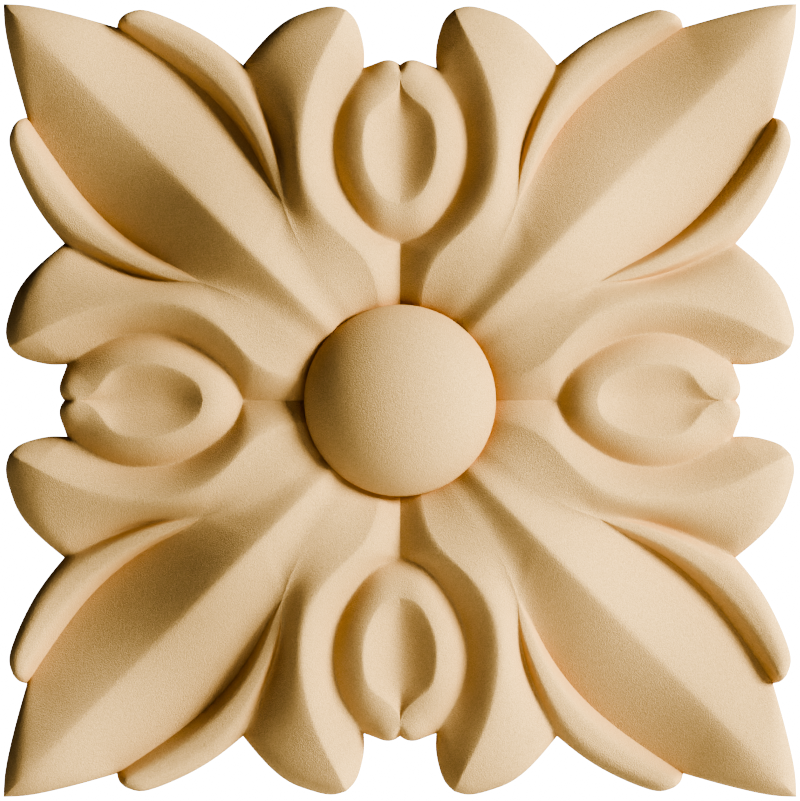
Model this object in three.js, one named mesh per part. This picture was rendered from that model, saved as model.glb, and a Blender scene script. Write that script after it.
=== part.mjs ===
import * as THREE from 'three';
import { mergeVertices } from 'three/addons/utils/BufferGeometryUtils.js';

// Square leaf rosette, pressed in one piece with a flat back, standing against a wall.
// Millimetres, +Z up. The back lies on y = 0, the carved face looks along -Y,
// and the origin is the middle of the back.

// Driving dimensions
const width = 100; // across the square, leaf tip to leaf tip
const reliefDepth = 10; // height that counts as 100 percent in the feature lines
const webThickness = 2.5; // solid material behind the level of 0 percent
const domeDiameter = 24.2;
const domeSphere = 28; // the dome is the top of a ball this wide, pressed flatter
const domeCrown = 11.1; // height of the pressed ball's top above its middle
const domeRise = 2; // top of the dome above the level of 100 percent
const dipDepth = 1.6; // the carving sinks by this much where it meets the dome
const dipReach = 2.8; // and recovers over this distance

// Fineness of the dome, from its rim to its top
const domeRings = 6;

// Directions in which feature lines leave the dome, in degrees from the upright axis
const valleyDirection = 0;
const lobeDirection = 13.3;
const rootDirection = 31.4;
const keelDirection = 45;

// The carving is drawn for one eighth of the face, between the upright axis and the
// diagonal, and repeated around the centre. A point is [across, up, height]: across and
// up in percent of the half width, height in percent of the relief depth.
const percent = 0.01;
const halfWidth = width / 2;
const domeRadius = domeDiameter / 2;

function domeRim(direction, height) {
  const angle = THREE.MathUtils.degToRad(direction);
  const reach = domeRadius / halfWidth / percent;
  return [reach * Math.sin(angle), reach * Math.cos(angle), height];
}

function onDiagonal(stations) {
  return stations.map(([reach, height]) => [reach, reach, height]);
}

function onAxis(stations) {
  return stations.map(([reach, height]) => [0, reach, height]);
}

// Points where feature lines meet
const leafTip = [100, 100, 29];
const fork = [29.7, 50.2, 62]; // leaf, crescent lobe and wide lobe part here
const slitMouth = [71.4, 94.1, 6];
const crescentTip = [69.2, 97.6, 29];
const notch = [39.6, 84.7, 19]; // crescent lobe meets wide lobe at the outline
const lobeTip = [13.6, 98.6, 37];
const flankFoot = [9.1, 84, 30]; // wide lobe meets the eye at the outline
const eyeFoot = [0, 39.6, 48];
const eyeInner = [0, 49.7, 70];
const eyeOuter = [0, 81, 46];
const cleft = [0, 84.7, 29];

// Each line: its points, and the stretches it is divided into. A stretch is
// [end as a share of the line's length, number of facets].
const featureLines = {
  keel: {
    points: [
      domeRim(keelDirection, 80),
      ...onDiagonal([[31.5, 93], [40.4, 90], [50.4, 72], [60.5, 48], [72, 36], [90, 38]]),
      leafTip,
    ],
    stretches: [[0.22, 6], [0.76, 13], [1, 5]],
  },
  root: {
    points: [domeRim(rootDirection, 74), [17.7, 27.7, 78], [23.2, 35.8, 78], [27.2, 43.4, 73], fork],
    stretches: [[1, 6]],
  },
  slit: {
    points: [fork, [33.1, 55.7, 47], [36.9, 62.7, 29], [46.5, 75.4, 8], [61.7, 87.6, 3], slitMouth],
    stretches: [[1, 13]],
  },
  leafEdge: {
    points: [slitMouth, [80.2, 96.6, 20], [88.3, 98.6, 29], [95.3, 99.8, 31], leafTip],
    stretches: [[1, 5]],
  },
  crescentCrest: {
    points: [fork, [33, 63, 50], [39.8, 76.9, 35], [53.5, 90.8, 25], [61.5, 94.8, 26], crescentTip],
    stretches: [[0.52, 7], [0.95, 6], [1, 2]],
  },
  crescentEdge: {
    points: [
      notch,
      [44.9, 89, 23],
      [50, 92.4, 23],
      [56, 95.5, 22],
      [62, 97.9, 25],
      [66, 98.6, 28],
      crescentTip,
    ],
    stretches: [[1, 8]],
  },
  crescentNose: {
    points: [slitMouth, [70.8, 96.1, 19], crescentTip],
    stretches: [[1, 2]],
  },
  gully: {
    points: [fork, [30, 57, 53], [31.3, 64.3, 39], [36.3, 77.7, 25], notch],
    stretches: [[1, 7]],
  },
  lobeRidge: {
    points: [
      domeRim(lobeDirection, 71),
      [10.1, 36.6, 79],
      [15.6, 42.1, 82],
      [21.2, 48.9, 81],
      [24.8, 66.1, 67],
      [20.2, 85.8, 57],
      [16.2, 93.6, 49],
      lobeTip,
    ],
    stretches: [[0.17, 3], [0.36, 3], [0.83, 7], [0.92, 3], [1, 5]],
  },
  lobeEdge: {
    points: [notch, [33.8, 91.5, 29], [27.5, 96.5, 27], [22.2, 98.5, 26], [16.4, 99.4, 29], lobeTip],
    stretches: [[1, 8]],
  },
  lobeFlank: {
    points: [flankFoot, [9, 87.8, 28], [9.8, 92.3, 29], [11.6, 96.6, 33], lobeTip],
    stretches: [[1, 5]],
  },
  valley: {
    points: [domeRim(valleyDirection, 60), eyeFoot],
    stretches: [[1, 3]],
  },
  eyeGroove: {
    points: [eyeFoot, [5.5, 41.9, 54], [11.1, 47.7, 55], [16.9, 63.1, 46], [13.1, 77.9, 36], flankFoot],
    stretches: [[1, 13]],
  },
  eyeRim: {
    points: [eyeInner, [6.8, 54.2, 70], [9.3, 66.6, 64], [7.6, 72.6, 58], [3.5, 76.2, 52], eyeOuter],
    stretches: [[0.86, 13], [1, 4]],
  },
  eyeNose: {
    points: [flankFoot, [6.3, 85, 37], [3.3, 85.9, 41], cleft],
    stretches: [[1, 4]],
  },
  hollow: {
    points: [eyeInner, ...onAxis([[55.5, 56], [63, 48], [74, 43]]), eyeOuter],
    stretches: [[1, 17]],
  },
};

// A surface hangs between a crest line and the lines at its foot, in rows. How steeply
// it leaves the crest and meets the foot, against a flat facet's 1, is given at the
// start of the surface, in its middle and at its end.
const surfaces = [
  {
    crest: 'keel',
    feet: ['root', 'slit', 'leafEdge'],
    rows: 3,
    crestSlope: [0.8, 0.95, 0.4],
    footSlope: [0.1, 1, 0.9],
  },
  {
    crest: 'crescentCrest',
    feet: ['slit', 'crescentNose'],
    rows: 2,
    crestSlope: [0.2, 0.2, 0.2],
    footSlope: [3.2, 3.2, 3.2],
  },
  {
    crest: 'crescentCrest',
    feet: ['gully', 'crescentEdge'],
    rows: 3,
    crestSlope: [0.1, 0.4, 0.6],
    footSlope: [3, 1.7, 1.3],
  },
  {
    crest: 'lobeRidge',
    feet: ['root', 'gully', 'lobeEdge'],
    rows: 4,
    crestSlope: [0.3, 0.3, 0.6],
    footSlope: [2.5, 1.6, 2.1],
  },
  {
    crest: 'lobeRidge',
    feet: ['valley', 'eyeGroove', 'lobeFlank'],
    rows: 4,
    crestSlope: [1, 0.5, 1.5],
    footSlope: [0.8, 1.3, -0.2],
  },
  {
    crest: 'eyeRim',
    feet: ['eyeGroove', 'eyeNose'],
    rows: 3,
    crestSlope: [-0.1, 0.6, -0.1],
    footSlope: [2, 1.6, 2.3],
  },
  {
    crest: 'eyeRim',
    feet: ['hollow'],
    rows: 3,
    crestSlope: [0.9, 1.5, 1.4],
    footSlope: [1, 0, 0.5],
  },
];

// Lines that meet the outline, in order from the upright axis to the diagonal
const outlineOrder = [
  { line: 'eyeNose', reversed: true },
  { line: 'lobeFlank', reversed: false },
  { line: 'lobeEdge', reversed: true },
  { line: 'crescentEdge', reversed: false },
  { line: 'crescentNose', reversed: true },
  { line: 'leafEdge', reversed: false },
];

// Points along a feature line, spaced evenly inside each of its stretches
function divideLine({ points, stretches }) {
  const vectors = points.map(([across, up, height]) => new THREE.Vector3(
    across * percent * halfWidth,
    up * percent * halfWidth,
    webThickness + height * percent * reliefDepth,
  ));
  const curve = new THREE.CatmullRomCurve3(vectors);
  const divided = [vectors[0]];
  let start = 0;
  for (const [end, facets] of stretches) {
    for (let step = 1; step <= facets; step += 1) {
      divided.push(curve.getPointAt(start + ((end - start) * step) / facets));
    }
    start = end;
  }
  divided[divided.length - 1] = vectors[vectors.length - 1];
  return divided;
}

const dividedLines = {};
for (const [name, line] of Object.entries(featureLines)) {
  dividedLines[name] = divideLine(line);
}

// Value at a share of the way along, from values at the start, the middle and the end
function alongThree([start, middle, end], share) {
  return share < 0.5
    ? THREE.MathUtils.lerp(start, middle, 2 * share)
    : THREE.MathUtils.lerp(middle, end, 2 * share - 1);
}

// Share of the drop from crest to foot, a cubic with the given slopes at its two ends
function dropShare(share, crestSlope, footSlope) {
  const rest = 1 - share;
  return crestSlope * share * rest ** 2 + share ** 2 * (3 - 2 * share) - footSlope * share ** 2 * rest;
}

// Keeps a point outside the dome and lowers it where the carving dips towards the dome
function meetDome(point) {
  const reach = Math.max(Math.hypot(point.x, point.y), domeRadius);
  const stretch = reach / Math.hypot(point.x, point.y);
  const dip = dipDepth * Math.exp((domeRadius - reach) / dipReach);
  return new THREE.Vector3(point.x * stretch, point.y * stretch, point.z - dip);
}

// Columns of points, each running from the crest line down to its foot
function surfaceGrid({ crest, feet, rows, crestSlope, footSlope }) {
  const top = dividedLines[crest];
  const foot = feet.flatMap((name, index) => dividedLines[name].slice(index === 0 ? 0 : 1));
  return top.map((high, column) => {
    const low = foot[column];
    const along = column / (top.length - 1);
    const slopes = [alongThree(crestSlope, along), alongThree(footSlope, along)];
    return Array.from({ length: rows + 1 }, (_, row) => {
      const point = high.clone().lerp(low, row / rows);
      point.z = THREE.MathUtils.lerp(high.z, low.z, dropShare(row / rows, ...slopes));
      return meetDome(point);
    });
  });
}

// The eight copies of a point: turned by quarters, as drawn and mirrored
function placePoint(point, quarter, mirrored) {
  let x = mirrored ? -point.x : point.x;
  let y = point.y;
  for (let turn = 0; turn < quarter; turn += 1) {
    [x, y] = [y, -x];
  }
  return new THREE.Vector3(x, y, point.z);
}

function placeAll(points) {
  const copies = [];
  for (let quarter = 0; quarter < 4; quarter += 1) {
    copies.push(points.map((point) => placePoint(point, quarter, false)));
    copies.push(points.map((point) => placePoint(point, quarter, true)));
  }
  return copies;
}

// Adds a triangle that faces the viewer, whichever way round its corners are given
function addFaceUp(triangles, a, b, c) {
  const area = (b.x - a.x) * (c.y - a.y) - (b.y - a.y) * (c.x - a.x);
  if (area > 0) {
    triangles.push(a, b, c);
  } else if (area < 0) {
    triangles.push(a, c, b);
  }
}

function carvedFace(grids) {
  const triangles = [];
  for (const grid of grids) {
    for (let column = 0; column + 1 < grid.length; column += 1) {
      for (let row = 0; row + 1 < grid[column].length; row += 1) {
        const patch = [
          grid[column][row],
          grid[column + 1][row],
          grid[column + 1][row + 1],
          grid[column][row + 1],
        ];
        for (const [a, b, c, d] of placeAll(patch)) {
          addFaceUp(triangles, a, b, c);
          addFaceUp(triangles, a, c, d);
        }
      }
    }
  }
  return triangles;
}

// Where the carving meets the dome, anticlockwise, each point once
function domeLoop(grids) {
  const touching = grids.filter((grid) => Math.hypot(grid[0][0].x, grid[0][0].y) < domeRadius * 1.001);
  const bearing = (point) => Math.atan2(point.y, point.x);
  const around = touching.flatMap((grid) => placeAll(grid[0]).flat());
  around.sort((a, b) => bearing(a) - bearing(b));
  return around.filter((point, index) => point.distanceTo(around.at(index - 1)) > 1e-6);
}

// Rings from the carving to the dome's rim and up over its crown
function domeSurface(grids) {
  const triangles = [];
  const top = webThickness + reliefDepth + domeRise;
  const middle = top - domeCrown;
  const rimAngle = Math.acos(domeDiameter / domeSphere);
  let outer = domeLoop(grids);
  for (let ring = 0; ring < domeRings; ring += 1) {
    const angle = THREE.MathUtils.lerp(rimAngle, Math.PI / 2, ring / domeRings);
    const shrink = Math.cos(angle) / Math.cos(rimAngle);
    const height = middle + domeCrown * Math.sin(angle);
    const inner = domeLoop(grids).map(
      (point) => new THREE.Vector3(point.x * shrink, point.y * shrink, height),
    );
    outer.forEach((point, index) => {
      const next = (index + 1) % outer.length;
      triangles.push(point, outer[next], inner[next]);
      triangles.push(point, inner[next], inner[index]);
    });
    outer = inner;
  }
  const peak = new THREE.Vector3(0, 0, top);
  outer.forEach((point, index) => {
    triangles.push(point, outer[(index + 1) % outer.length], peak);
  });
  return triangles;
}

// The whole outline, anticlockwise seen from the front
function outlineLoop() {
  const eighth = outlineOrder.flatMap(({ line, reversed }) => {
    const points = reversed ? [...dividedLines[line]].reverse() : dividedLines[line];
    return points.slice(0, -1).map(meetDome);
  });
  const wholeEighth = [...eighth, meetDome(dividedLines.leafEdge.at(-1))];
  const loop = [];
  for (let quarter = 0; quarter < 4; quarter += 1) {
    const left = wholeEighth.slice(1).reverse().map((point) => placePoint(point, quarter, true));
    const right = eighth.map((point) => placePoint(point, quarter, false));
    loop.push(...left, ...right);
  }
  return loop.reverse();
}

function wallsAndBack() {
  const triangles = [];
  const loop = outlineLoop();
  const onBack = loop.map((point) => new THREE.Vector3(point.x, point.y, 0));
  loop.forEach((point, index) => {
    const next = (index + 1) % loop.length;
    triangles.push(onBack[index], onBack[next], loop[next]);
    triangles.push(onBack[index], loop[next], point);
  });
  const flat = onBack.map((point) => new THREE.Vector2(point.x, point.y));
  for (const [a, b, c] of THREE.ShapeUtils.triangulateShape(flat, [])) {
    triangles.push(onBack[a], onBack[c], onBack[b]);
  }
  return triangles;
}

// All the triangles as one closed surface whose corners are shared
function rosetteGeometry() {
  const grids = surfaces.map(surfaceGrid);
  const corners = [...carvedFace(grids), ...domeSurface(grids), ...wallsAndBack()];
  const geometry = mergeVertices(new THREE.BufferGeometry().setFromPoints(corners));
  geometry.computeVertexNormals();
  return geometry;
}

// Pressed wood flour and resin, left bare
const pressedWood = new THREE.MeshStandardMaterial({
  color: '#dcc39c',
  roughness: 0.85,
  metalness: 0,
  flatShading: true,
});

const rosette = new THREE.Mesh(rosetteGeometry(), pressedWood);
rosette.name = 'rosette';
rosette.rotation.x = Math.PI / 2;

const applique = new THREE.Group();
applique.add(rosette);

export default applique;
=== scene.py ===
import math
import bmesh
import bpy
import numpy as np
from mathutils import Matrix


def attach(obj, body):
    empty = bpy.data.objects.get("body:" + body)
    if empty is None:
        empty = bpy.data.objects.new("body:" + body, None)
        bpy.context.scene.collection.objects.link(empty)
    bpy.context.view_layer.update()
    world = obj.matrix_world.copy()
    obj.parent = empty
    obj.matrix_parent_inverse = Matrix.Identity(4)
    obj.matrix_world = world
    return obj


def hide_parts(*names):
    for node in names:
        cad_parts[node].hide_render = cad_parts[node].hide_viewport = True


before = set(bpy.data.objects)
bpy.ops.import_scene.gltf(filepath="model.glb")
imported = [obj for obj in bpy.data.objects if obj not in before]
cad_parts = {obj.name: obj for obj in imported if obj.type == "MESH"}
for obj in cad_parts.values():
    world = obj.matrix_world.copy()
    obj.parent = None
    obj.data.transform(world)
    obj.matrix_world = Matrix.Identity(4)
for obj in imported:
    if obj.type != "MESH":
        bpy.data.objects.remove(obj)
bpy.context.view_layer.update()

# Square leaf rosette, pressed in one piece from wood flour and resin.
# Metres, +Z up: the flat back lies on y = 0 and the carved face looks along -Y.
mm = 0.001


def toLinear(hexColour):
    # sRGB hex to linear: c/12.92 in the darks, ((c + 0.055)/1.055)^2.4 above
    channels = np.array([int(hexColour[i:i + 2], 16) for i in (1, 3, 5)]) / 255
    linear = np.where(channels <= 0.04045, channels / 12.92, ((channels + 0.055) / 1.055) ** 2.4)
    return (*linear.tolist(), 1.0)


def addNode(tree, kind, settings=None, inputs=None):
    # one node, its settings, and its sockets set to a value or linked to another socket
    node = tree.nodes.new(kind)
    for name, value in (settings or {}).items():
        setattr(node, name, value)
    for socket, value in (inputs or {}).items():
        if isinstance(value, bpy.types.NodeSocket):
            tree.links.new(value, node.inputs[socket])
        else:
            node.inputs[socket].default_value = value
    return node


def emptyMaterial(name):
    material = bpy.data.materials.new(name)
    material.use_nodes = True
    material.node_tree.nodes.clear()
    return material


# The carving
rosetteShape = {
    "width": 100,  # mm, leaf tip to leaf tip
    "reliefDepth": 10,  # mm, height of 100 percent
    "webThickness": 2.5,  # mm behind the level of 0 percent
    "domeDiameter": 24.2,
    "domeCrown": 11.1,  # mm, height of the pressed ball's top above its middle
    "domeRise": 2,
    "dipDepth": 1.6,  # mm, how far the carving sinks at the dome
    "dipReach": 2.8,
    "rollWidth": 1.6,  # mm, rounding at the outline: across
    "rollDrop": 0.98,  # and down
    "domeSphere": 28,  # mm, the dome is the top of a ball this wide, pressed flatter
    "fineness": 4,  # facets here for each facet of the plain solid
    "leastFall": 0.01,  # mm, where crest and foot meet
    "crowding": 0.75,  # how far a surface's rows draw together at its crest and foot
    "roundLimits": (0.0001, 0.8),  # share of a surface's width that a soft crest or foot takes
    "wallRows": 4,
    "domeRings": 28,
    "socketRows": 3,
    "weld": 0.001,  # mm, points closer than this become one
    "crisp": 55,  # degrees, an edge sharper than this stays crisp
}

halfWidth = rosetteShape["width"] / 2
domeRadius = rosetteShape["domeDiameter"] / 2


def domeRim(direction, height):
    # a point on the dome's rim, in percent, at so many degrees from the upright axis
    angle = math.radians(direction)
    reach = 100 * domeRadius / halfWidth
    return (reach * math.sin(angle), reach * math.cos(angle), height)


# Points are (across, up, height): percent of the half width, and percent of the relief
leafTip = (100, 100, 29)
fork = (29.7, 50.2, 62)
slitMouth = (71.4, 94.1, 6)
crescentTip = (69.2, 97.6, 29)
notch = (39.6, 84.7, 19)
lobeTip = (13.6, 98.6, 37)
flankFoot = (9.1, 84, 30)
eyeFoot = (0, 39.6, 48)
eyeInner = (0, 49.7, 70)
eyeOuter = (0, 81, 46)
cleft = (0, 84.7, 29)

# Each line: its points, its stretches as (end, facets), and its softness in mm
featureLines = {
    "keel": {
        "points": [domeRim(45, 80), (31.5, 31.5, 93), (40.4, 40.4, 90), (50.4, 50.4, 72), (60.5, 60.5, 48),
                   (72, 72, 36), (84, 84, 39), (94, 94, 37), leafTip],
        "stretches": [(0.22, 8), (0.76, 12), (1, 5)],
        "soft": 0.4,
    },
    "root": {
        "points": [domeRim(31.4, 74), (17.7, 27.7, 78), (23.2, 35.8, 78), (27.2, 43.4, 73), fork],
        "stretches": [(1, 8)],
        "soft": 1.8,
    },
    "slit": {
        "points": [fork, (33.1, 55.7, 47), (36.9, 62.7, 29), (46.5, 75.4, 8), (61.7, 87.6, 3), slitMouth],
        "stretches": [(1, 12)],
        "soft": 0,
    },
    "leafEdge": {
        "points": [slitMouth, (80.2, 96.6, 20), (88.3, 98.6, 29), (95.3, 99.8, 31), leafTip],
        "stretches": [(1, 5)],
        "soft": 0,
        "roll": [0.4, 1.4, 1.8],
    },
    "crescentCrest": {
        "points": [fork, (30.8, 56, 56), (33, 63, 50), (39.8, 76.9, 35), (53.5, 90.8, 25), (61.5, 94.8, 26),
                   crescentTip],
        "stretches": [(0.52, 7), (0.95, 5), (1, 2)],
        "soft": 0.5,
    },
    "crescentEdge": {
        "points": [notch, (44.9, 89, 23), (50, 92.4, 23), (56, 95.5, 22), (62, 97.9, 25), (66, 98.6, 28),
                   crescentTip],
        "stretches": [(1, 7)],
        "soft": 0,
        "roll": [1, 1.3, 1.2, 1],
    },
    "crescentNose": {
        "points": [slitMouth, (70.8, 96.1, 19), crescentTip],
        "stretches": [(1, 2)],
        "soft": 0,
        "roll": [0.3, 1],
    },
    "gully": {
        "points": [fork, (30, 57, 53), (31.3, 64.3, 39), (36.3, 77.7, 25), notch],
        "stretches": [(1, 7)],
        "soft": 0.7,
    },
    "lobeRidge": {
        "points": [domeRim(13.3, 71), (7, 30.8, 75), (10.1, 36.6, 79), (15.6, 42.1, 82), (21.2, 48.9, 81),
                   (24.8, 66.1, 67), (20.2, 85.8, 57), (16.2, 93.6, 49), lobeTip],
        "stretches": [(0.17, 4), (0.36, 4), (0.83, 7), (0.92, 3), (1, 5)],
        "soft": [0.5, 0.5, 0.45, 0.4, 0.15],
    },
    "lobeEdge": {
        "points": [notch, (33.8, 91.5, 29), (27.5, 96.5, 27), (22.2, 98.5, 26), (16.4, 99.4, 29), lobeTip],
        "stretches": [(1, 8)],
        "soft": 0,
    },
    "lobeFlank": {
        "points": [flankFoot, (9, 87.8, 28), (9.8, 92.3, 29), (11.6, 96.6, 33), lobeTip],
        "stretches": [(1, 5)],
        "soft": 0,
    },
    "valley": {
        "points": [domeRim(0, 60), (0, 31.5, 57), eyeFoot],
        "stretches": [(1, 4)],
        "soft": 0,
    },
    "eyeGroove": {
        "points": [eyeFoot, (5.5, 41.9, 55), (11.1, 47.7, 55), (15.1, 54.7, 50), (16.9, 63.1, 46),
                   (16.1, 71.1, 40), (13.1, 77.9, 36), flankFoot],
        "stretches": [(1, 14)],
        "soft": 0.35,
    },
    "eyeRim": {
        "points": [eyeInner, (3.5, 50.4, 71), (6.8, 54.2, 70), (9.1, 60.5, 68), (9.3, 66.6, 64),
                   (7.6, 72.6, 58), (3.5, 76.2, 52), (0.8, 79.2, 47), eyeOuter],
        "stretches": [(0.86, 14), (1, 4)],
        "soft": 0.25,
        "mirrored": True,  # crosses the axis at a right angle, so the eye is round there
    },
    "eyeNose": {
        "points": [flankFoot, (6.3, 85, 37), (3.3, 85.9, 41), (1, 85.4, 38), cleft],
        "stretches": [(1, 4)],
        "soft": 0,
    },
    "hollow": {
        "points": [eyeInner, (0, 55.5, 56), (0, 63, 48), (0, 74, 43), eyeOuter],
        "stretches": [(1, 18)],
        "soft": 0,
    },
}

# Surfaces between a crest line and its foot lines. Slopes are against a flat facet's 1,
# at even stations along. A knee is the share across where the slope changes, the share
# of the height lost by then, and its rounding. A level foot runs on smoothly across it
surfaces = {
    "leaf": {"crest": "keel", "feet": ["root", "slit", "leafEdge"], "rows": 16,
             "crestSlope": [0.8, 0.94, 0.37], "footSlope": [0.1, 0.98, 0.92]},
    "crescentIn": {"crest": "crescentCrest", "feet": ["slit", "crescentNose"], "rows": 12,
                   "knee": (0.5, 0.1, 0.09)},
    "crescentOut": {"crest": "crescentCrest", "feet": ["gully", "crescentEdge"], "rows": 14,
                    "crestSlope": [0.1, 0.4, 0.6], "footSlope": [3.0, 1.7, 1.3]},
    "lobeOut": {"crest": "lobeRidge", "feet": ["root", "gully", "lobeEdge"], "rows": 18,
                "crestSlope": [0.3, 0.33, 0.6], "footSlope": [2.5, 1.6, 2.1]},
    "lobeIn": {"crest": "lobeRidge", "feet": ["valley", "eyeGroove", "lobeFlank"], "rows": 18,
               "crestSlope": [0.98, 0.53, 1.5], "footSlope": [0.8, 1.1, 1.28, 0.5, -0.26]},
    "ring": {"crest": "eyeRim", "feet": ["eyeGroove", "eyeNose"], "rows": 14,
             "crestSlope": [-0.08, 0.62, -0.12], "footSlope": [2.06, 1.63, 2.26]},
    "bowl": {"crest": "eyeRim", "feet": ["hollow"], "rows": 14,
             "crestSlope": [0.87, 1.5, 1.38], "levelFoot": True},
}
outlineNames = ["eyeNose", "lobeFlank", "lobeEdge", "crescentEdge", "crescentNose", "leafEdge"]


def splineThrough(points, shares, mirrored=False):
    # natural cubic spline: the parameter is the chord length along the points and the
    # second derivative is zero at both ends; a mirrored start bends as if it went on
    # across the axis
    knots = np.array(points, float)
    if mirrored:
        knots = np.vstack([knots[1] * [-1, 1, 1], knots])
    chord = np.concatenate([[0], np.cumsum(np.linalg.norm(np.diff(knots[:, :2], axis=0), axis=1))])
    gap = np.diff(chord)
    system = np.diag(np.concatenate([[1], 2 * (gap[:-1] + gap[1:]), [1]]))
    system += np.diag(np.concatenate([gap[:-1], [0]]), -1) + np.diag(np.concatenate([[0], gap[1:]]), 1)
    slope = np.diff(knots, axis=0) / gap[:, None]
    flat = np.zeros((1, 3))
    bend = np.linalg.solve(system, np.vstack([flat, 6 * np.diff(slope, axis=0), flat]))
    start = chord[1] if mirrored else 0
    place = start + np.asarray(shares) * (chord[-1] - start)
    span = np.clip(np.searchsorted(chord, place, side="right") - 1, 0, len(gap) - 1)
    before = (place - chord[span])[:, None]
    after = (chord[span + 1] - place)[:, None]
    gap = gap[span][:, None]
    curve = (bend[span] * after ** 3 + bend[span + 1] * before ** 3) / (6 * gap)
    curve += (knots[span] / gap - bend[span] * gap / 6) * after
    curve += (knots[span + 1] / gap - bend[span + 1] * gap / 6) * before
    return curve


def divideLine(line):
    # the line's points in mm, evenly spaced inside each of its stretches
    ends = [0] + [end for end, facets in line["stretches"]]
    counts = np.cumsum([0] + [facets * rosetteShape["fineness"] for end, facets in line["stretches"]])
    shares = np.interp(np.arange(counts[-1] + 1), counts, ends)
    curve = splineThrough(line["points"], shares, line.get("mirrored", False))
    curve[:, :2] *= halfWidth / 100
    curve[:, 2] = rosetteShape["webThickness"] + curve[:, 2] * rosetteShape["reliefDepth"] / 100
    return curve


dividedLines = {name: divideLine(line) for name, line in featureLines.items()}


def evenly(stations, along):
    # values given at even stations, read off in between
    return np.interp(along, np.linspace(0, 1, len(stations)), stations)


def alongLine(name, key, plain=0):
    # a line's own setting, one value or a list along it, at each of its points
    stations = np.atleast_1d(featureLines[name].get(key, plain))
    return evenly(stations, np.linspace(0, 1, len(dividedLines[name])))


def edgeRoll(place):
    # how far the outline's rounding lowers each point: the shortest distance d in plan to
    # the outline, whose neighbours across the axis and the diagonal count too, gives
    # drop·(1 - sqrt(1 - (1 - d/w)²)) for d below w, both scaled by the line's own roll
    eighth = [dividedLines[name][:, :2] for name in outlineNames]
    runs = eighth + [run * [-1, 1] for run in eighth] + [run[:, ::-1] for run in eighth]
    scales = [alongLine(name, "roll", 1) for name in outlineNames] * 3
    start = np.vstack([run[:-1] for run in runs])
    step = np.vstack([np.diff(run, axis=0) for run in runs])
    first = np.concatenate([scale[:-1] for scale in scales])
    change = np.concatenate([np.diff(scale) for scale in scales])
    lowered = []
    for column in place:
        offset = column[:, None] - start
        share = np.clip((offset * step).sum(-1) / (step ** 2).sum(-1), 0, 1)
        distance = np.linalg.norm(offset - share[..., None] * step, axis=-1)
        scale = first + share * change
        inward = np.clip(1 - distance / (rosetteShape["rollWidth"] * scale), 0, 1)
        drop = rosetteShape["rollDrop"] * scale * (1 - np.sqrt(1 - inward ** 2))
        lowered.append(drop.max(axis=1))
    return np.stack(lowered)


def settle(grid):
    # keeps points off the dome, lowers them by depth·exp(-(r - R)/reach) beside it, and
    # rolls them off at the outline
    reach = np.linalg.norm(grid[..., :2], axis=-1)
    outside = np.maximum(reach, domeRadius)
    grid[..., :2] *= (outside / reach)[..., None]
    grid[..., 2] -= rosetteShape["dipDepth"] * np.exp((domeRadius - outside) / rosetteShape["dipReach"])
    grid[..., 2] -= edgeRoll(grid[..., :2])
    return grid


def softened(share, softness):
    # a straight start becomes a small round: (sqrt(t² + e²) - e)/(sqrt(1 + e²) - e)
    return (np.hypot(share, softness) - softness) / (np.hypot(1, softness) - softness)


def footLine(feet):
    # the foot lines end to end, and the softness of each point, blended where they meet
    kept = [(name, slice(0 if index == 0 else 1, None)) for index, name in enumerate(feet)]
    run = np.vstack([dividedLines[name][part] for name, part in kept])
    softness = np.concatenate([alongLine(name, "soft")[part] for name, part in kept])
    reach = 2 * rosetteShape["fineness"]
    padded = np.pad(softness, reach, mode="edge")
    kernel = np.hanning(2 * reach + 3)[1:-1]
    return run, np.convolve(padded, kernel / kernel.sum(), mode="valid")


def kneeFall(share, knee):
    # two straight slopes, s1·t and then steeper, joined by the hyperbola
    # h(u) = (u + sqrt(u² + e²))/2: s1·t + (s2 - s1)·(h(t - k) - h(-k)), scaled to end at 1
    place, lost, rounding = knee
    first, second = lost / place, (1 - lost) / (1 - place)
    bend = (share - place + np.hypot(share - place, rounding)) / 2
    atStart, atEnd = [(u + math.hypot(u, rounding)) / 2 for u in (-place, 1 - place)]
    whole = first + (second - first) * (atEnd - atStart)
    return (first * share + (second - first) * (bend - atStart)) / whole


def levelSlope(crest, foot):
    # the foot slope that leaves no crease across the axis: the slope of the foot line
    # itself times how far the facet runs along it, over the facet's own fall
    alongAxis = np.gradient(foot[:, 2]) / np.gradient(foot[:, 1])
    fall = np.maximum(crest[:, 2] - foot[:, 2], rosetteShape["leastFall"])
    return np.clip(-alongAxis * (foot[:, 1] - crest[:, 1]) / fall, -1, 2)[:, None]


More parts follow.
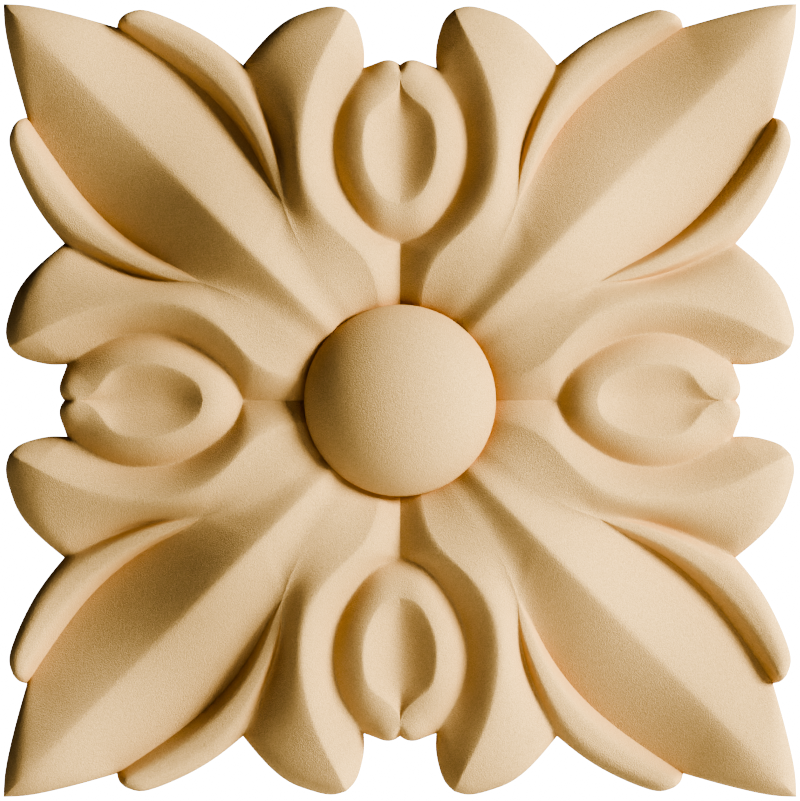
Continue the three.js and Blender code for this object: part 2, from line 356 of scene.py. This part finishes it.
def surfaceGrid(surface):
    # in plan crest·(1 - t) + foot·t; the height falls by the share
    # a·t·(1 - t)² + t²·(3 - 2t) - b·t²·(1 - t), where a and b are the slopes at the
    # two ends; the rows crowd together at both ends
    crest = dividedLines[surface["crest"]]
    foot, footSoft = footLine(surface["feet"])
    along = np.linspace(0, 1, len(crest))
    step = np.linspace(0, 1, surface["rows"] + 1)
    across = step - rosetteShape["crowding"] * np.sin(2 * np.pi * step) / (2 * np.pi)
    width = np.maximum(np.linalg.norm((crest - foot)[:, :2], axis=1), 1e-3)[:, None]
    crestSoft = alongLine(surface["crest"], "soft")
    crestRound, footRound = [
        np.clip(soft[:, None] / width, *rosetteShape["roundLimits"]) for soft in (crestSoft, footSoft)]
    share = softened(across[None, :], crestRound)
    share = 1 - softened(1 - share, footRound)
    if "knee" in surface:
        fall = kneeFall(share, surface["knee"])
    else:
        crestSlope = evenly(surface["crestSlope"], along)[:, None]
        if surface.get("levelFoot"):
            footSlope = levelSlope(crest, foot)
        else:
            footSlope = evenly(surface["footSlope"], along)[:, None]
        fall = crestSlope * share * (1 - share) ** 2 + share ** 2 * (3 - 2 * share)
        fall -= footSlope * share ** 2 * (1 - share)
    grid = crest[:, None] * (1 - across[None, :, None]) + foot[:, None] * across[None, :, None]
    grid[..., 2] = crest[:, None, 2] * (1 - fall) + foot[:, None, 2] * fall
    return settle(grid)


def domeGrids(arc):
    # the socket wall runs straight to the dome's foot, and the dome rises from there:
    # radius R·cos(f), height shoulder + crown·sin(f), with f from the foot to 90 degrees
    shoulder = rosetteShape["webThickness"] + rosetteShape["reliefDepth"] + rosetteShape["domeRise"]
    shoulder -= rosetteShape["domeCrown"]
    grow = rosetteShape["domeSphere"] / rosetteShape["domeDiameter"]
    start = math.acos(1 / grow)
    foot = shoulder + rosetteShape["domeCrown"] * math.sin(start)
    down = np.linspace(0, 1, rosetteShape["socketRows"] + 1)[None, :]
    socket = np.repeat(arc[:, None], rosetteShape["socketRows"] + 1, axis=1)
    socket[..., 2] = arc[:, None, 2] * (1 - down) + foot * down
    rise = np.linspace(start, np.pi / 2, rosetteShape["domeRings"] + 1)[None, :]
    dome = np.repeat(arc[:, None], rosetteShape["domeRings"] + 1, axis=1)
    dome[..., :2] *= grow * np.cos(rise)[..., None]
    dome[..., 2] = shoulder + rosetteShape["domeCrown"] * np.sin(rise)
    return [socket, dome]


def wallGrid(name):
    # straight down from the outline to the back
    top = settle(dividedLines[name][:, None].copy())
    down = np.linspace(0, 1, rosetteShape["wallRows"] + 1)
    wall = np.repeat(top, len(down), axis=1)
    wall[..., 2] *= 1 - down
    return wall


def backGrid(surface):
    # the same strip seen from behind, one facet wide, flat on the back
    foot = footLine(surface["feet"])[0]
    grid = settle(np.stack([dividedLines[surface["crest"]], foot], axis=1))
    grid[..., 2] = 0
    return grid


def backMiddle(backs):
    # closes the middle of the back, from the dome's rim in to the centre
    rims = [back[0] for back in backs if np.linalg.norm(back[0, 0, :2]) < domeRadius * 1.001]
    return [np.stack([rim, rim * 0], axis=1) for rim in rims]


def meshFromGrids(name, grids):
    # every grid eight times, turned by quarters and mirrored, welded into one skin
    turns = [np.array([[c, -s], [s, c]]) for c, s in ((1, 0), (0, 1), (-1, 0), (0, -1))]
    vertices, faces, count = [], [], 0
    for grid in grids:
        columns, rows = grid.shape[:2]
        index = np.arange(columns * rows).reshape(columns, rows)
        corners = [index[:-1, :-1], index[1:, :-1], index[1:, 1:], index[:-1, 1:]]
        quads = np.stack(corners, -1).reshape(-1, 4)
        for turn in turns:
            for side in (1, -1):
                plan = (grid[..., :2] * [side, 1]) @ turn.T
                placed = np.stack([plan[..., 0], -grid[..., 2], plan[..., 1]], -1)
                vertices.append(placed.reshape(-1, 3) * mm)
                faces.append(quads + count)
                count += columns * rows
    mesh = bpy.data.meshes.new(name)
    mesh.from_pydata(np.vstack(vertices), [], np.vstack(faces))
    skin = bmesh.new()
    skin.from_mesh(mesh)
    bmesh.ops.remove_doubles(skin, verts=skin.verts, dist=rosetteShape["weld"] * mm)
    bmesh.ops.dissolve_degenerate(skin, dist=rosetteShape["weld"] * mm / 2, edges=skin.edges)
    bmesh.ops.recalc_face_normals(skin, faces=skin.faces)
    openEdges = sum(1 for edge in skin.edges if len(edge.link_faces) != 2)
    skin.to_mesh(mesh)
    skin.free()
    mesh.shade_smooth()
    mesh.set_sharp_from_angle(angle=math.radians(rosetteShape["crisp"]))
    print(name, len(mesh.vertices), "vertices", len(mesh.polygons), "faces", openEdges, "open edges")
    return mesh


faceGrids = {name: surfaceGrid(surface) for name, surface in surfaces.items()}
rimArc = np.vstack([
    faceGrids["lobeIn"][0][::-1],
    faceGrids["lobeOut"][0][1:],
    faceGrids["leaf"][0][::-1][1:],
])
backs = [backGrid(surface) for surface in surfaces.values()]
allGrids = [*faceGrids.values(), *domeGrids(rimArc), *[wallGrid(name) for name in outlineNames], *backs]
allGrids += backMiddle(backs)
rosette = bpy.data.objects.new("carvedRosette", meshFromGrids("carvedRosette", allGrids))
bpy.context.collection.objects.link(rosette)
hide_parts("rosette")
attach(rosette, "root")


# Pressed wood: fine sawdust bound with resin, pressed in a mould and left bare. It gives the eye a dead
# matt, pale honey skin, evenly speckled like fine sandpaper. Down in the grooves a browner, warmer colour
# is painted in, as painted shade and painted warm bounce light
pressedWoodLook = {
    "light": "#e3c7a0",
    "dark": "#ab916d",
    "paintedShade": "#c1966a",  # painted shade and painted warm bounce light in the bottoms of the grooves
    "paintedShadeReach": 7,  # mm, how near a wall has to be for the painted shade to count
    "paintedShadePower": 1.5,  # how fast the painted shade gives way to the open colour
    "roughness": 0.82,
    "specular": 0.2,
    "grain": 0.11,  # mm, clump of wood flour
    "grainHeight": 0.06,  # mm
    "rays": 8,
}


def pressedWood():
    look = pressedWoodLook
    material = emptyMaterial("pressedWood")
    tree = material.node_tree
    place = addNode(tree, "ShaderNodeTexCoord").outputs["Object"]
    grain = addNode(tree, "ShaderNodeTexNoise", {}, {
        "Vector": place, "Scale": 1 / (look["grain"] * mm), "Detail": 0.0})
    tone = addNode(tree, "ShaderNodeMix", {"data_type": "RGBA"}, {
        "Factor": grain.outputs["Fac"], "A": toLinear(look["dark"]), "B": toLinear(look["light"])})
    # painted shade: ambient occlusion mixes the darker, warmer colour into grooves and creases, where shade
    # falls
    shadeOcclusion = addNode(tree, "ShaderNodeAmbientOcclusion", {"samples": look["rays"]}, {
        "Distance": look["paintedShadeReach"] * mm})
    unshadedShare = addNode(tree, "ShaderNodeMath", {"operation": "POWER"}, {
        0: shadeOcclusion.outputs["AO"], 1: look["paintedShadePower"]})
    tone = addNode(tree, "ShaderNodeMix", {"data_type": "RGBA"}, {
        "Factor": unshadedShare.outputs["Value"], "A": toLinear(look["paintedShade"]), "B": tone.outputs["Result"]})
    bump = addNode(tree, "ShaderNodeBump", {}, {
        "Height": grain.outputs["Fac"], "Distance": look["grainHeight"] * mm, "Strength": 1.0})
    surface = addNode(tree, "ShaderNodeBsdfPrincipled", {}, {
        "Base Color": tone.outputs["Result"], "Roughness": look["roughness"],
        "Specular IOR Level": look["specular"], "Normal": bump.outputs["Normal"]})
    addNode(tree, "ShaderNodeOutputMaterial", {}, {"Surface": surface.outputs["BSDF"]})
    return material


rosette.data.materials.append(pressedWood())
print("pressed wood done")

# Floor, light and camera
studio = {
    "floorDrop": 0.35,  # m below the middle of the rosette
    "floorSize": 6.0,
    "floorColour": "#efece6",
    "floorGlow": 2.2,  # keeps the paper pale to the camera, and lights nothing
    "keyAzimuth": 20,  # degrees above level, to the right
    "keyElevation": 27,  # degrees out from the plane of the carving
    "keyDistance": 1.4,  # m
    "keySize": 0.5,  # m across
    "keyPower": 40,  # W
    "keyColour": "#fff8da",
    "backPower": 8,  # W, the same softbox again, behind the flat back
    "fillColour": "#ffc8d4",
    "fillStrength": 0.016,
    "backdrop": 4.5,  # white behind the rosette, seen by the camera alone
    "frameHeight": 0.10101,  # m, the height of the picture
    "cameraDistance": 0.6,
}

floorMesh = bpy.data.meshes.new("paperFloor")
half, drop = studio["floorSize"] / 2, -studio["floorDrop"]
floorCorners = [(-half, -half, drop), (half, -half, drop), (half, half, drop), (-half, half, drop)]
floorMesh.from_pydata(floorCorners, [], [(0, 1, 2, 3)])
floor = bpy.data.objects.new("paperFloor", floorMesh)
bpy.context.collection.objects.link(floor)
paper = emptyMaterial("matPaper")
seen = addNode(paper.node_tree, "ShaderNodeLightPath").outputs["Is Camera Ray"]
glow = addNode(paper.node_tree, "ShaderNodeMath", {"operation": "MULTIPLY"}, {
    0: seen, 1: studio["floorGlow"]})
paperSurface = addNode(paper.node_tree, "ShaderNodeBsdfPrincipled", {}, {
    "Base Color": toLinear(studio["floorColour"]), "Roughness": 0.9,
    "Emission Color": toLinear(studio["floorColour"]), "Emission Strength": glow.outputs["Value"]})
addNode(paper.node_tree, "ShaderNodeOutputMaterial", {}, {"Surface": paperSurface.outputs["BSDF"]})
floorMesh.materials.append(paper)

azimuth, elevation = math.radians(studio["keyAzimuth"]), math.radians(studio["keyElevation"])
across, up = math.cos(elevation) * math.cos(azimuth), math.cos(elevation) * math.sin(azimuth)
for name, side, power in (("keySoftbox", -1, studio["keyPower"]), ("backSoftbox", 1, studio["backPower"])):
    lamp = bpy.data.lights.new(name, "AREA")
    lamp.shape = "DISK"
    lamp.size = studio["keySize"]
    lamp.energy = power
    lamp.color = toLinear(studio["keyColour"])[:3]
    softbox = bpy.data.objects.new(name, lamp)
    softbox.location = np.array([across, side * math.sin(elevation), up]) * studio["keyDistance"]
    softbox.rotation_euler = softbox.location.to_track_quat("Z", "Y").to_euler()
    bpy.context.collection.objects.link(softbox)

world = bpy.data.worlds.new("studioAir")
bpy.context.scene.world = world
world.use_nodes = True
world.node_tree.nodes.clear()
fill = addNode(world.node_tree, "ShaderNodeBackground", {}, {
    "Color": toLinear(studio["fillColour"]), "Strength": studio["fillStrength"]})
white = addNode(world.node_tree, "ShaderNodeBackground", {}, {
    "Color": (1, 1, 1, 1), "Strength": studio["backdrop"]})
path = addNode(world.node_tree, "ShaderNodeLightPath")
both = addNode(world.node_tree, "ShaderNodeMixShader", {}, {
    0: path.outputs["Is Camera Ray"], 1: fill.outputs["Background"], 2: white.outputs["Background"]})
addNode(world.node_tree, "ShaderNodeOutputWorld", {}, {"Surface": both.outputs["Shader"]})

cameraData = bpy.data.cameras.new("faceOn")
cameraData.type = "ORTHO"
cameraData.ortho_scale = studio["frameHeight"]
camera = bpy.data.objects.new("faceOn", cameraData)
camera.location = (0, -studio["cameraDistance"], 0)
camera.rotation_euler = (math.radians(90), 0, 0)
bpy.context.collection.objects.link(camera)
bpy.context.scene.camera = camera
bpy.context.scene.view_settings.view_transform = "AgX"
bpy.context.scene.view_settings.look = "AgX - Very High Contrast"
print("studio done")
